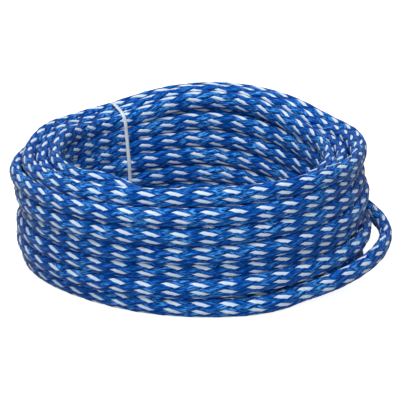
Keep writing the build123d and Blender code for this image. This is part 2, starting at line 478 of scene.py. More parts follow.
# ---------------------------------------------------------------- meshes
def skin(name: str, rings: np.ndarray, across: np.ndarray, along: np.ndarray,
         material: bpy.types.Material) -> bpy.types.Object:
    """A closed mesh through a row of rings, capped at both ends.

    Args:
        name: The object's name.
        rings: Points, one row for each ring.
        across: Place of each point of a ring across the surface, and of its first point once more.
        along: Place of each ring along the piece.
        material: Its material.

    Returns:
        The object, with the maps FibreMap and OFBake.
    """
    count, size = rings.shape[:2]
    here = np.arange(count - 1)[:, None] * size + np.arange(size)[None]
    beside = np.arange(count - 1)[:, None] * size + (np.arange(size)[None] + 1) % size
    quads = np.stack([here, beside, beside + size, here + size], -1).reshape(-1)
    caps = np.concatenate([np.arange(size)[::-1], np.arange(size) + (count - 1) * size])
    mesh = bpy.data.meshes.new(name)
    mesh.vertices.add(count * size)
    mesh.vertices.foreach_set("co", rings.reshape(-1).astype(np.float32))
    face_count = (count - 1) * size + 2
    mesh.loops.add(len(quads) + len(caps))
    mesh.loops.foreach_set("vertex_index", np.concatenate([quads, caps]).astype(np.int32))
    starts = np.r_[np.arange(face_count - 1) * 4, len(quads) + size]
    mesh.polygons.add(face_count)
    mesh.polygons.foreach_set("loop_start", starts.astype(np.int32))
    mesh.polygons.foreach_set("use_smooth", np.ones(face_count, bool))
    mesh.update(calc_edges=True)
    ring_of = np.arange(count - 1)[:, None, None] + np.array([0, 0, 1, 1])
    step_of = np.arange(size)[None, :, None] + np.array([0, 1, 1, 0])
    ring_of, step_of = np.broadcast_arrays(ring_of, step_of)
    fibre = np.stack([along[ring_of], across[step_of]], -1).reshape(-1, 2)
    rows = max(1, round(math.sqrt(count * 6 / (size * 3))))
    per_row = -(-(count - 1) // rows)
    first = np.arange(count - 1)[:, None, None]
    bake_u = (first % per_row + np.array([0, 0, 1, 1])) / per_row
    bake_v = (first // per_row + 0.06 + 0.88 * step_of / size) / rows
    bake = np.stack(np.broadcast_arrays(bake_u, bake_v), -1).reshape(-1, 2)
    for map_name, values in (("FibreMap", fibre), ("OFBake", bake)):
        layer = mesh.uv_layers.new(name=map_name)
        ends = np.repeat(values[[0, -1]], size, axis=0)
        layer.data.foreach_set("uv", np.concatenate([values, ends]).reshape(-1).astype(np.float32))
    mesh.materials.append(material)
    mesh.validate()
    obj = bpy.data.objects.new(name, mesh)
    bpy.context.scene.collection.objects.link(obj)
    return obj


def smooth(value: np.ndarray) -> np.ndarray:
    """Eases a ramp at both ends, and holds it between 0 and 1."""
    ramp = np.clip(value, 0.0, 1.0)
    return ramp * ramp * (3 - 2 * ramp)


def bump(angle: np.ndarray, middle: float, width: float) -> np.ndarray:
    """A smooth bump round the coil: 1 at its middle, and about a third at its width from there."""
    away = (angle - middle + 180) % 360 - 180
    return np.exp(-((away / width) ** 2))


def cross(first: np.ndarray, second: np.ndarray) -> float:
    """The cross product of two flat vectors."""
    return float(first[0] * second[1] - first[1] * second[0])


def ripple(rng: np.random.Generator, place: np.ndarray, count: int, fall: float) -> np.ndarray:
    """A slow unevenness, as a sum of sine waves of random height and start.

    Args:
        rng: The seeded random source.
        place: Places, counted in lengths of the longest wave.
        count: How many waves; each is a whole part of the longest.
        fall: How fast the shorter waves get lower.

    Returns:
        One value for each place, on a scale of about 1.
    """
    return np.sum([rng.normal() * np.sin(2 * np.pi * (place * k + rng.random())) / k**fall
                   for k in range(1, count + 1)], axis=0)


def resample(line: np.ndarray, pitch: float) -> np.ndarray:
    """Evenly spaced points along a line.

    Args:
        line: The line's points.
        pitch: The distance between two of the new points.

    Returns:
        The new points.
    """
    place = np.r_[0.0, np.cumsum(np.linalg.norm(np.diff(line, axis=0), axis=1))]
    spots = np.linspace(0, place[-1], round(place[-1] / pitch) + 1)
    return np.stack([np.interp(spots, place, line[:, i]) for i in range(line.shape[1])], 1)


# ---------------------------------------------------------------- the wound coil
@dataclass(frozen=True)
class Swell:
    """A place on the coil where its turns stand out, or are pressed in where the reach is negative.

    Attributes:
        at: Its middle, as an angle in degrees.
        width: Angle from there at which it has fallen to about a third.
        reach: How far it moves the turns.
        gone: Height at which it is gone.
        full: Height at which it is full.
        power: How it grows between the two: 1 is evenly, and less is fast at first.
    """

    at: float
    width: float
    reach: float
    gone: float
    full: float
    power: float = 1.0

    def over(self, angle: np.ndarray, z: np.ndarray) -> np.ndarray:
        """How far turns at these angles and heights are moved."""
        ramp = np.clip((z - self.gone) / (self.full - self.gone), 0, 1) ** self.power
        return self.reach * bump(angle, self.at, self.width) * ramp


@dataclass(frozen=True)
class Belt:
    """A swell that lies at one height: its angle, width and reach, its height and half its depth."""

    at: float
    width: float
    reach: float
    middle: float
    depth: float

    def over(self, angle: np.ndarray, z: np.ndarray) -> np.ndarray:
        """How far turns at these angles and heights are moved."""
        level = np.exp(-(((z - self.middle) / self.depth) ** 2))
        return self.reach * bump(angle, self.at, self.width) * level


@dataclass(frozen=True)
class CoilLayout:
    """Where each turn of the coil lies.

    The rope fills the outer wall from the bottom up, folds over the top, fills the middle on the way down
    and the inner wall on the way up. Points at the same angle are then pushed apart round by round. Turns
    that are pressed together keep some overlap.

    Attributes:
        outer_r: Outermost radius.
        wall: Radial thickness.
        height: Height.
        rope_w: Width of the flattened rope, upright in the coil.
        rope_t: Thickness of the flattened rope.
        per_turn: Points in each turn.
        start_az: Angle where the rope enters the outer wall, in degrees.
        end_az: Angle where it leaves the inner wall.
        outer_rows: Turns in the outer wall.
        middle_rows: Turns in the middle, which lie a little zigzag.
        inner_rows: Turns in the inner wall.
        zigzag: How far the middle turns lie off their column.
        rounds: Rounds of pushing apart.
        give: Share of each push, and of each smoothing, that a round takes.
        hold: Share of the way back to its place that a point goes in a round.
        seed: Seed of the unevenness.
        CREST: Height of the coil's top at some angles, as shares of its height.
        OUTLINE: Swells of the limit that the turns are held inside.
        OUTER_TURNS: Swells that the outer wall's turns are drawn out to.
        SAG: How far the outer turns sink beside the loose one.
        SLIP: Middle and width, in degrees, of the stretch where a low middle turn slides out.
        SLIP_OUT: How far it slides outward there.
        SLIP_DOWN: How far it sinks there.
        TIE_PULL: How far the tie pulls the inner wall out.
        TIE_DIP: How far it pulls the top down at the outer wall.
        OUTER_STEP: Angle and length, in degrees, of the outer turns' first step up.
        FOLD_STEP: The same for the fold over the top, from the last of those steps.
        MIDDLE_STEP: The same for the middle's first step down.
        INNER_STEP: The same for the inner wall's first step up.
    """

    CREST = (
        (0, 0.955), (12, 0.95), (24, 0.905), (34, 0.905), (45, 0.95), (55, 1.03), (68, 1.15), (80, 1.15),
        (95, 1.10), (112, 0.96), (124, 0.92), (131, 0.93), (144, 0.915), (154, 0.955), (165, 0.93),
        (180, 0.90), (225, 0.94), (270, 1.0), (315, 1.0), (360, 0.955),
    )
    OUTLINE = (
        Swell(230, 30, -8 * MM, 35 * MM, 0),
        Swell(160, 28, -4 * MM, 50 * MM, 80 * MM),
        Belt(355, 18, -11 * MM, 66 * MM, 7 * MM),
        Belt(182, 12, 12 * MM, 61 * MM, 7 * MM),
        Swell(12, 16, 5 * MM, 50 * MM, 80 * MM),
        Swell(298, 20, 5 * MM, 35 * MM, 0),
        Swell(340, 14, 11 * MM, 35 * MM, 0, 0.5),
    )
    OUTER_TURNS = (
        Swell(340, 14, 9 * MM, 45 * MM, 0, 0.5),
        Swell(12, 16, 4 * MM, 60 * MM, 80 * MM),
        Swell(298, 20, 4 * MM, 40 * MM, 0),
        Belt(180, 12, 8 * MM, 61 * MM, 6 * MM),
    )
    SAG = Swell(336, 20, 9 * MM, 63 * MM, 18 * MM)
    SLIP, SLIP_OUT, SLIP_DOWN = (336, 17), 15 * MM, 3 * MM
    TIE_PULL = Swell(121, 24, 7 * MM, 35 * MM, 65 * MM)
    TIE_DIP = 11 * MM
    OUTER_STEP, FOLD_STEP = (315.0, 70.0), (45.0, 80.0)
    MIDDLE_STEP, INNER_STEP = (150.0, 100.0), (40.0, 90.0)

    outer_r: float
    wall: float
    height: float
    rope_w: float = 13.5 * MM
    rope_t: float = 8.8 * MM
    per_turn: int = 36
    start_az: float = 155.0
    end_az: float = 230.0
    outer_rows: int = 7
    middle_rows: int = 10
    inner_rows: int = 7
    zigzag: float = 2.4 * MM
    rounds: int = 320
    give: float = 0.25
    hold: float = 0.02
    seed: int = 4

    def slots(self) -> np.ndarray:
        """Radius and height of each turn's place, in the order that they fill.

        Returns:
            One row for each turn.
        """
        outside = self.outer_r - self.rope_t / 2
        inside = self.outer_r - self.wall + self.rope_t / 2
        middle = (outside + inside) / 2
        low, span = self.rope_w / 2, self.height - self.rope_w
        turns = [(outside, low + span * i / (self.outer_rows - 1)) for i in range(self.outer_rows)]
        for i in reversed(range(self.middle_rows)):
            side = self.zigzag if i % 2 else -self.zigzag
            turns.append((middle + side, low + span * i / (self.middle_rows - 1)))
        turns += [(inside, low + span * i / (self.inner_rows - 1)) for i in range(self.inner_rows)]
        return np.array(turns)

    def steps(self) -> tuple[list[tuple[float, float]], float]:
        """Where the rope moves on from one turn's place to the next.

        Returns:
            The angle and the length of each step in degrees, and the angle of the rope's end.
        """
        (at, width), found = self.OUTER_STEP, []
        found += [(at + 360.0 * i, width) for i in range(self.outer_rows - 1)]
        fold = found[-1][0] + 360.0 + self.FOLD_STEP[0]
        found.append((fold, self.FOLD_STEP[1]))
        at, width = self.MIDDLE_STEP
        at += 360.0 * math.ceil((fold - 90.0) / 360.0)
        found += [(at + 360.0 * i, width) for i in range(self.middle_rows)]
        at, width = self.INNER_STEP
        at += 360.0 * math.ceil((found[-1][0] + 20.0) / 360.0)
        found += [(at + 360.0 * i, width) for i in range(self.inner_rows - 1)]
        last = found[-1][0]
        return found, self.end_az + 360.0 * math.ceil((last + 60.0 - self.end_az) / 360.0)

    def crest(self, angle: np.ndarray) -> np.ndarray:
        """Height of the coil's top at each angle, as a share of its height; the tie pulls it down."""
        at, share = zip(*self.CREST)
        return np.interp(angle % 360, at, share)

    def outer_limit(self, angle: np.ndarray, z: np.ndarray) -> np.ndarray:
        """The largest radius that a turn's middle may have: the wall leans in where it was gripped.

        Args:
            angle: Angles in degrees.
            z: Heights.

        Returns:
            One radius for each point.
        """
        return self.outer_r - self.rope_t / 2 + sum(swell.over(angle, z) for swell in self.OUTLINE)

    def inner_limit(self, angle: np.ndarray, z: np.ndarray) -> np.ndarray:
        """The smallest radius that a turn's middle may have: the tie pulls the inner wall back.

        Args:
            angle: Angles in degrees.
            z: Heights.

        Returns:
            One radius for each point.
        """
        pulled = self.TIE_PULL.over(angle, z)
        return self.outer_r - self.wall + self.rope_t / 2 + pulled

    def aims(self, angle: np.ndarray, place: np.ndarray,
             rng: np.random.Generator) -> tuple[np.ndarray, np.ndarray]:
        """Where each point would lie if no other turn pushed it.

        Args:
            angle: The points' angles in degrees.
            place: The radii and heights of their places.
            rng: The seeded random source.

        Returns:
            The radii and heights, and the share of the way there that each point goes in a round.
        """
        turn = np.arange(len(angle)) / self.per_turn
        uneven = [1.0 * MM * ripple(rng, turn / 6.3, 6, 0.5), 1.6 * MM * ripple(rng, turn / 5.1, 6, 0.5)]
        aim = place * np.stack([np.ones(len(angle)), self.crest(angle)], 1) + np.stack(uneven, 1)
        z = aim[:, 1].copy()
        outer = place[:, 0] > self.outer_r - self.rope_t
        pulled = sum(swell.over(angle, z) for swell in self.OUTER_TURNS)
        aim[:, 0] += outer * pulled
        aim[:, 1] -= outer * self.SAG.over(angle, z)
        behind = ~outer & (place[:, 0] > self.outer_r - self.wall / 2) & (place[:, 1] < 20 * MM)
        slid = behind * bump(angle, *self.SLIP)
        aim += slid[:, None] * (self.SLIP_OUT, -self.SLIP_DOWN)
        return aim, (self.hold + 0.1 * outer * (pulled > 1 * MM) + 0.25 * (slid > 0.1))[:, None]

    def settle(self, angle: np.ndarray, place: np.ndarray) -> np.ndarray:
        """Pushes turns apart, and holds them inside the coil's outline.

        Args:
            angle: The points' angles in degrees, evenly spaced.
            place: Their radii and heights.

        Returns:
            The settled radii and heights.
        """
        rng = np.random.default_rng(self.seed)
        count, size = len(angle), np.array([self.rope_t, 0.97 * self.rope_w])
        aim, firm = self.aims(angle, place, rng)
        sunk = np.maximum(0, 2.2 * MM * ripple(rng, np.arange(count) / self.per_turn / 3.7, 6, 0.5))
        held, pins = self.loose_turn(angle)
        turns = -(-count // self.per_turn)
        spare = turns * self.per_turn - count
        real = np.r_[np.ones(count, bool), np.zeros(spare, bool)].reshape(turns, -1)
        pair = real[:, None] & real[None] & ~np.eye(turns, dtype=bool)[:, :, None]
        highest = self.height * self.crest(angle) - self.rope_w / 2
        dip = self.TIE_DIP * bump(angle, self.TIE_PULL.at, self.TIE_PULL.width)
        spots = aim.copy()
        for _ in range(self.rounds):
            grid = np.concatenate([spots, np.zeros((spare, 2))]).reshape(turns, self.per_turn, 2)
            apart = (grid[:, None] - grid[None]) / size
            reach = np.sqrt((apart**2).sum(-1)) + 1e-9
            share = np.where(pair & (reach < 1), (1 - reach) / reach, 0)
            push = (apart * share[..., None]).sum(1) * size
            spots = spots + self.give * push.reshape(-1, 2)[:count] + firm * (aim - spots)
            spots[1:-1] += self.give * ((spots[:-2] + spots[2:]) / 2 - spots[1:-1])
            r, z = spots[:, 0], spots[:, 1]
            limit, inside = self.outer_limit(angle, z) - sunk, self.inner_limit(angle, z)
            r = np.where(r > limit, (r + limit) / 2, r)
            r = np.where(r < inside, (r + inside) / 2, r)
            top = highest - dip * np.clip((self.outer_r - r) / self.wall, 0, 1)
            z = np.where(z > top, (z + top) / 2, z)
            spots = np.stack([r, np.maximum(z, self.rope_w / 2)], 1)
            spots[held] = pins
        return spots

    def loose_turn(self, angle: np.ndarray) -> tuple[np.ndarray, np.ndarray]:
        """The points of the first turn that the loose stretch takes the place of.

        Args:
            angle: The points' angles in degrees.

        Returns:
            Which points, and the radii and heights that the loose stretch has there.
        """
        loose = np.array(LOOSE_TURN)
        at = np.degrees(np.arctan2(loose[:, 1], loose[:, 0])) + 360
        held = (angle >= at[0]) & (angle <= at[-1])
        radius = np.interp(angle[held], at, np.hypot(loose[:, 0], loose[:, 1]))
        return held, np.stack([radius, np.interp(angle[held], at, loose[:, 2])], 1)

    def turns(self) -> list[Point]:
        """The coil's points from the outer wall's bottom to the inner wall's top.

        Returns:
            Points from the coil's axis, with the loose stretch's own points in their place.
        """
        places = self.slots()
        steps, last = self.steps()
        pitch = 360.0 / self.per_turn
        first = math.ceil(self.start_az / pitch)
        angle = (first + np.arange(int(last // pitch) - first)) * pitch
        guide = np.tile(places[0], (len(angle), 1))
        for i, (middle, width) in enumerate(steps):
            share = smooth((angle - middle) / width + 0.5)
            guide += (places[i + 1] - places[i]) * share[:, None]
        settled = self.settle(angle, guide)
        turn = np.radians(angle)
        points = np.stack([settled[:, 0] * np.cos(turn), settled[:, 0] * np.sin(turn), settled[:, 1]], 1)
        held = np.flatnonzero(self.loose_turn(angle)[0])
        before, after = points[1:held[0]], points[held[-1] + 1:]
        return [tuple(p) for p in before] + LOOSE_TURN + [tuple(p) for p in after]


# ---------------------------------------------------------------- the rope
@dataclass(frozen=True)
class Eye:
    """A spliced eye that lies level: its splice's end, its far end and the lead that it hangs on."""

    splice_end: Point
    far_end: Point
    lead_end: Point

    def loop(self) -> list[Point]:
        """The eye's points, out along one leg and back along the other.

        Returns:
            Points from the coil's axis.
        """
        start = Vector(self.splice_end)
        along = (Vector(self.far_end) - start).normalized()
        side = Vector((0, 0, 1)).cross(along)
        legs = EYE_LEG + [(u, -v) for u, v in reversed(EYE_LEG)]
        return [tuple(start + along * u + side * v) for u, v in legs]

    def splice_middle(self) -> Point:
        """The middle of the splice, from the coil's axis."""
        return tuple((Vector(self.splice_end) + Vector(self.lead_end)) / 2)


class RopeRoute:
    """The rope's centreline, from the eye at the boat's end to the eye at the rider's end."""

    def __init__(self, layout: CoilLayout, origin: Vector) -> None:
        """Makes the route's spline and reads its line.

        Args:
            layout: The coil's layout.
            origin: The foot of the coil's axis.
        """
        boat = Eye(BOAT_SPLICE_END, BOAT_EYE_END, BOAT_LEAD[-1])
        rider = Eye(RIDER_SPLICE_END, RIDER_EYE_END, RIDER_LEAD[-1])
        stretches = [
            boat.loop(), [boat.splice_middle()], BOAT_LEAD[::-1], layout.turns(),
            RIDER_LEAD, [rider.splice_middle()], rider.loop(),
        ]
        self.points = [Vector(point) + origin for stretch in stretches for point in stretch]
        edges = np.cumsum([0] + [len(stretch) for stretch in stretches])
        line = self.read_line()
        runs = np.linalg.norm(np.diff(line, axis=0), axis=1)
        place = np.r_[0.0, np.cumsum(runs)]
        self.length = float(place[-1])
        knots = np.linspace(0, len(self.points) - 2, len(line))
        self.marks = [float(np.interp(edge - 0.5, knots, place)) for edge in edges]
        self.line, self.place = line, place

    def read_line(self) -> np.ndarray:
        """The spline's own line, read from a curve that isn't kept.

        Returns:
            Points in the row frame.
        """
        curve = bpy.data.curves.new("route", "CURVE")
        curve.dimensions = "3D"
        spline = curve.splines.new("NURBS")
        spline.points.add(len(self.points) - 1)
        for point, place in zip(spline.points, self.points):
            point.co = (*place, 1.0)
        spline.order_u = 3
        spline.use_endpoint_u = True
        curve.resolution_u = 10
        holder = bpy.data.objects.new("route", curve)
        bpy.context.scene.collection.objects.link(holder)
        mesh = bpy.data.meshes.new_from_object(holder)
        line = np.empty(len(mesh.vertices) * 3)
        mesh.vertices.foreach_get("co", line)
        bpy.data.objects.remove(holder)
        bpy.data.meshes.remove(mesh)
        bpy.data.curves.remove(curve)
        return line.reshape(-1, 3)

    def stations(self, pitch: float) -> tuple[np.ndarray, np.ndarray]:
        """Evenly spaced places along the rope, and the points there."""
        place = np.linspace(0, self.length, round(self.length / pitch) + 1)
        return place, np.stack([np.interp(place, self.place, self.line[:, i]) for i in range(3)], 1)


@dataclass(frozen=True)
class BraidSizes:
    """Sizes of the hollow braid.

    Attributes:
        coiled: Half the thickness and half the width of the flattened rope in the coil.
        free: The same where it lies free.
        spliced: The same at the wide end of a splice.
        lay: Length in which a yarn goes round the rope once.
        carriers: Carriers of each hand.
        yarn_t: Thickness of a yarn.
        wave: How far a yarn rises over its neighbours, and dips under them.
        white_share: Share of a mixed carrier that its white yarn takes.
        start: Share of a carrier's width that the pattern is turned by.
        overlap: How far a yarn reaches under the edge of the next one.
        proud: How much further out the left-hand carriers lie.
        pitch: Distance between two rings of a yarn's mesh.
        shade_core_depth: Depth of the dark sheet of painted shade under the rope's face.
    """

    coiled: tuple[float, float] = (4.4 * MM, 6.4 * MM)
    free: tuple[float, float] = (5.6 * MM, 5.4 * MM)
    spliced: tuple[float, float] = (8.0 * MM, 5.5 * MM)
    lay: float = 106 * MM
    carriers: int = 6
    yarn_t: float = 0.55 * MM
    wave: float = 0.24 * MM
    white_share: float = 0.57
    start: float = 0.725
    overlap: float = 0.05 * MM
    proud: float = 0.22 * MM
    pitch: float = 2.25 * MM
    shade_core_depth: float = 1.25 * MM


class BraidedRope:
    """The rope: a dark core, which is a sheet of painted shade inside the hollow braid, and three sets of
    yarns round it.

    Attributes:
        NODES: The CAD nodes that it replaces.
        SINGLE: A yarn's section: places across it from -1 to 1, and heights as shares of its thickness.
        TWIN: The same for two yarns side by side.
        FIBRE_STEP: How far each carrier's filament pattern lies along from the last one's.
    """

    NODES = ("rope_coil", "rope_loose_turn", "boat_end_lead", "boat_end_splice", "boat_end_eye",
             "rider_end_lead", "rider_end_splice", "rider_end_eye")
    SINGLE = ((-1.0, -0.15), (-0.7, 0.28), (-0.25, 0.5), (0.25, 0.5), (0.7, 0.28), (1.0, -0.15),
              (0.0, -0.5))
    TWIN = ((-1.0, -0.1), (-0.82, 0.28), (-0.5, 0.5), (-0.18, 0.38), (0.0, 0.2), (0.18, 0.38), (0.5, 0.5),
            (0.82, 0.28), (1.0, -0.1), (0.0, -0.5))
    FIBRE_STEP = 0.37

    def __init__(self, route: RopeRoute, sizes: BraidSizes, seed: int = 11) -> None:
        """Works out the rope's sections along its line.

        Args:
            route: The rope's route.
            sizes: The braid's sizes.
            seed: Seed of the braid's unevenness.
        """
        self.route, self.sizes = route, sizes
        self.rng = np.random.default_rng(seed)
        self.place, self.centre = route.stations(sizes.pitch)
        tangent = np.gradient(self.centre, axis=0)
        tangent /= np.linalg.norm(tangent, axis=1)[:, None]
        upward = np.array([0.0, 0.0, 1.0]) - tangent * tangent[:, 2:]
        self.up = upward / np.linalg.norm(upward, axis=1)[:, None]
        self.out = np.cross(tangent, self.up)
        self.thick, self.wide = self.section()
        self.roll = self.drift(0.035, 0.9)

    def drift(self, reach: float, wave: float) -> np.ndarray:
        """A slow unevenness along the rope: its size, and its longest wave in metres."""
        return reach * ripple(self.rng, self.place / wave, 8, 0.7)

    def section(self) -> tuple[np.ndarray, np.ndarray]:
        """Half sizes of the rope's outer face along it.

        Returns:
            Half the thickness and half the width at each station.
        """
        sizes, marks, end = self.sizes, self.route.marks, self.route.length
        tail, tip = 22 * MM, tuple(0.72 * half for half in sizes.free)
        keys = [
            (0.0, tip), (tail, sizes.free),
            (marks[1] - 30 * MM, sizes.free), (marks[1] - 4 * MM, sizes.spliced),
            (marks[1] + 10 * MM, sizes.spliced), (marks[2] + 12 * MM, sizes.free),
            (marks[3] - 60 * MM, sizes.free), (marks[3] + 50 * MM, sizes.coiled),
            (marks[4] - 20 * MM, sizes.coiled), (marks[4] + 70 * MM, sizes.free),
            (marks[5] - 12 * MM, sizes.free), (marks[6] - 10 * MM, sizes.spliced),
            (marks[6] + 4 * MM, sizes.spliced), (marks[6] + 30 * MM, sizes.free),
            (end - tail, sizes.free), (end, tip),
        ]
        at = [key[0] for key in keys]
        return tuple(np.interp(self.place, at, [key[1][i] for key in keys]) for i in range(2))

    def face(self, share: np.ndarray, lift: np.ndarray) -> np.ndarray:
        """Points on the rope's face.

        Args:
            share: How far round the rope each point lies, one row for each station.
            lift: How far each point lies above the rope's outer face.

        Returns:
            Points in the row frame.
        """
        thick, wide = self.thick[:, None], self.wide[:, None]
        flat = (wide**2 - thick**2) / (wide**2 + thick**2)
        angle = 2 * np.pi * share - flat / 4 * np.sin(4 * np.pi * share)
        across, upward = np.cos(angle) / thick, np.sin(angle) / wide
        size = np.hypot(across, upward)
        x = thick * np.cos(angle) + lift * across / size
        y = wide * np.sin(angle) + lift * upward / size
        points = self.centre[:, None] + self.out[:, None] * x[..., None] + self.up[:, None] * y[..., None]
        points[..., 2] = np.maximum(points[..., 2], 0.05 * MM)
        return points

    def girth(self) -> np.ndarray:
        """How far it is round the rope at each station."""
        return 2 * np.pi * np.sqrt((self.thick**2 + self.wide**2) / 2)

    def yarn(self, name: str, hand: Hand, carrier: int, span: tuple[float, float],
             profile: tuple[tuple[float, float], ...], material: bpy.types.Material) -> bpy.types.Object:
        """One yarn or pair of yarns, over and under the carriers of the other hand.

        Args:
            name: The object's name.
            hand: Which way it winds.
            carrier: The number of its carrier.
            span: The part of the carrier's width that it takes, from 0 to 1.
            profile: Its section: places across it from -1 to 1, and heights as shares of its thickness.
            material: Its material.

        Returns:
            The yarn's mesh.
        """
        sizes = self.sizes
        turns = self.place / sizes.lay
        shape = np.array(profile)
        middle, half = (span[0] + span[1]) / 2, (span[1] - span[0]) / 2
        half = half * (1 + self.drift(0.025, 0.4)) + sizes.overlap * sizes.carriers / self.girth()
        part = middle + half[:, None] * shape[None, :, 0]
        share = (carrier + part - sizes.start) / sizes.carriers + (hand.value * turns + self.roll)[:, None]
        phase = part + (hand.value * 2 * sizes.carriers * turns)[:, None]
        rise = -hand.value * np.sin(np.pi * phase)
        rise = rise * (1.25 - 0.25 * rise**2)
        level = sizes.wave * (1 + self.drift(0.05, 0.3))[:, None] * rise
        lift = level - sizes.wave - sizes.yarn_t / 2 + sizes.yarn_t * shape[None, :, 1]
        lift += sizes.proud * hand.value / 2
        width = 2 * float(np.median(half * self.girth())) / sizes.carriers
        across = np.r_[shape[:, 0], -1.0] * width / 2
        return skin(name, self.face(share, lift), across, self.place + carrier * self.FIBRE_STEP, material)

    def shade_core(self, material: bpy.types.Material, pitch: float = 5 * MM) -> bpy.types.Object:
        """A dark sheet under the yarns: painted shade for the inside of the hollow braid.

        Args:
            material: Its material.
            pitch: Distance between two rings of its mesh.

        Returns:
            The shade core's mesh.
        """
        share = np.tile(np.arange(12) / 12, (len(self.place), 1))
        rings = self.face(share, np.full_like(share, -self.sizes.shade_core_depth))
        every = round(pitch / self.sizes.pitch)
        keep = np.unique(np.r_[np.arange(0, len(rings), every), len(rings) - 1])
        across = np.arange(13) / 12 * float(np.median(self.girth()))
        return skin("rope_shade_core", rings[keep], across, self.place[keep], material)

    def build(self, finishes: dict[Tone, bpy.types.Material], shade_core: bpy.types.Material) -> None:
        """Args:
            finishes: The yarns' materials.
            shade_core: The material of the dark sheet of painted shade.
        """
        sizes = self.sizes
        # The dark core is painted shade under the yarns.
        inside = self.shade_core(shade_core)
        white = sizes.white_share
        yarns = []
        for i in range(sizes.carriers):
            sets = (
                ("yarn_white", Hand.RIGHT, (0.0, white), self.SINGLE, Tone.WHITE),
                ("yarn_blue", Hand.RIGHT, (white, 1.0), self.SINGLE, Tone.BLUE),
                ("yarn_pair", Hand.LEFT, (0.0, 1.0), self.TWIN, Tone.BLUE),
            )
            for name, hand, span, profile, tone in sets:
                made = self.yarn(f"{name}_{i + 1}", hand, i, span, profile, finishes[tone])
                yarns.append(made)
        for piece in [inside, *yarns]:
            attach(piece, "coil")
        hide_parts(*self.NODES)
        path = self.route.stations(6 * MM)[1]
        log.info("rope: %.2f m, %d yarns", self.route.length, len(yarns))


# ---------------------------------------------------------------- the tie
@dataclass(frozen=True)
class TieSizes:
    """Sizes of the cable tie's strap.

    Attributes:
        width: Width of the strap.
        thick: Thickness of the strap.
        edge: Bevel along its edges.
        bend: Radius at which it turns into the head.
        ease: Length over which its turns round the bundle are eased.
        floor_gap: How far it stays above the floor.
        tooth_pitch: Distance between two of its teeth.
        tooth_depth: Depth of the valleys between them.
        pitch: Distance between two rings of its mesh.
    """

    width: float = 2.5 * MM
    thick: float = 1.1 * MM
    edge: float = 0.22 * MM
    bend: float = 1.2 * MM
    ease: float = 18.0 * MM
    floor_gap: float = 0.1 * MM
    tooth_pitch: float = 1.0 * MM
    tooth_depth: float = 0.25 * MM
    pitch: float = 0.25 * MM


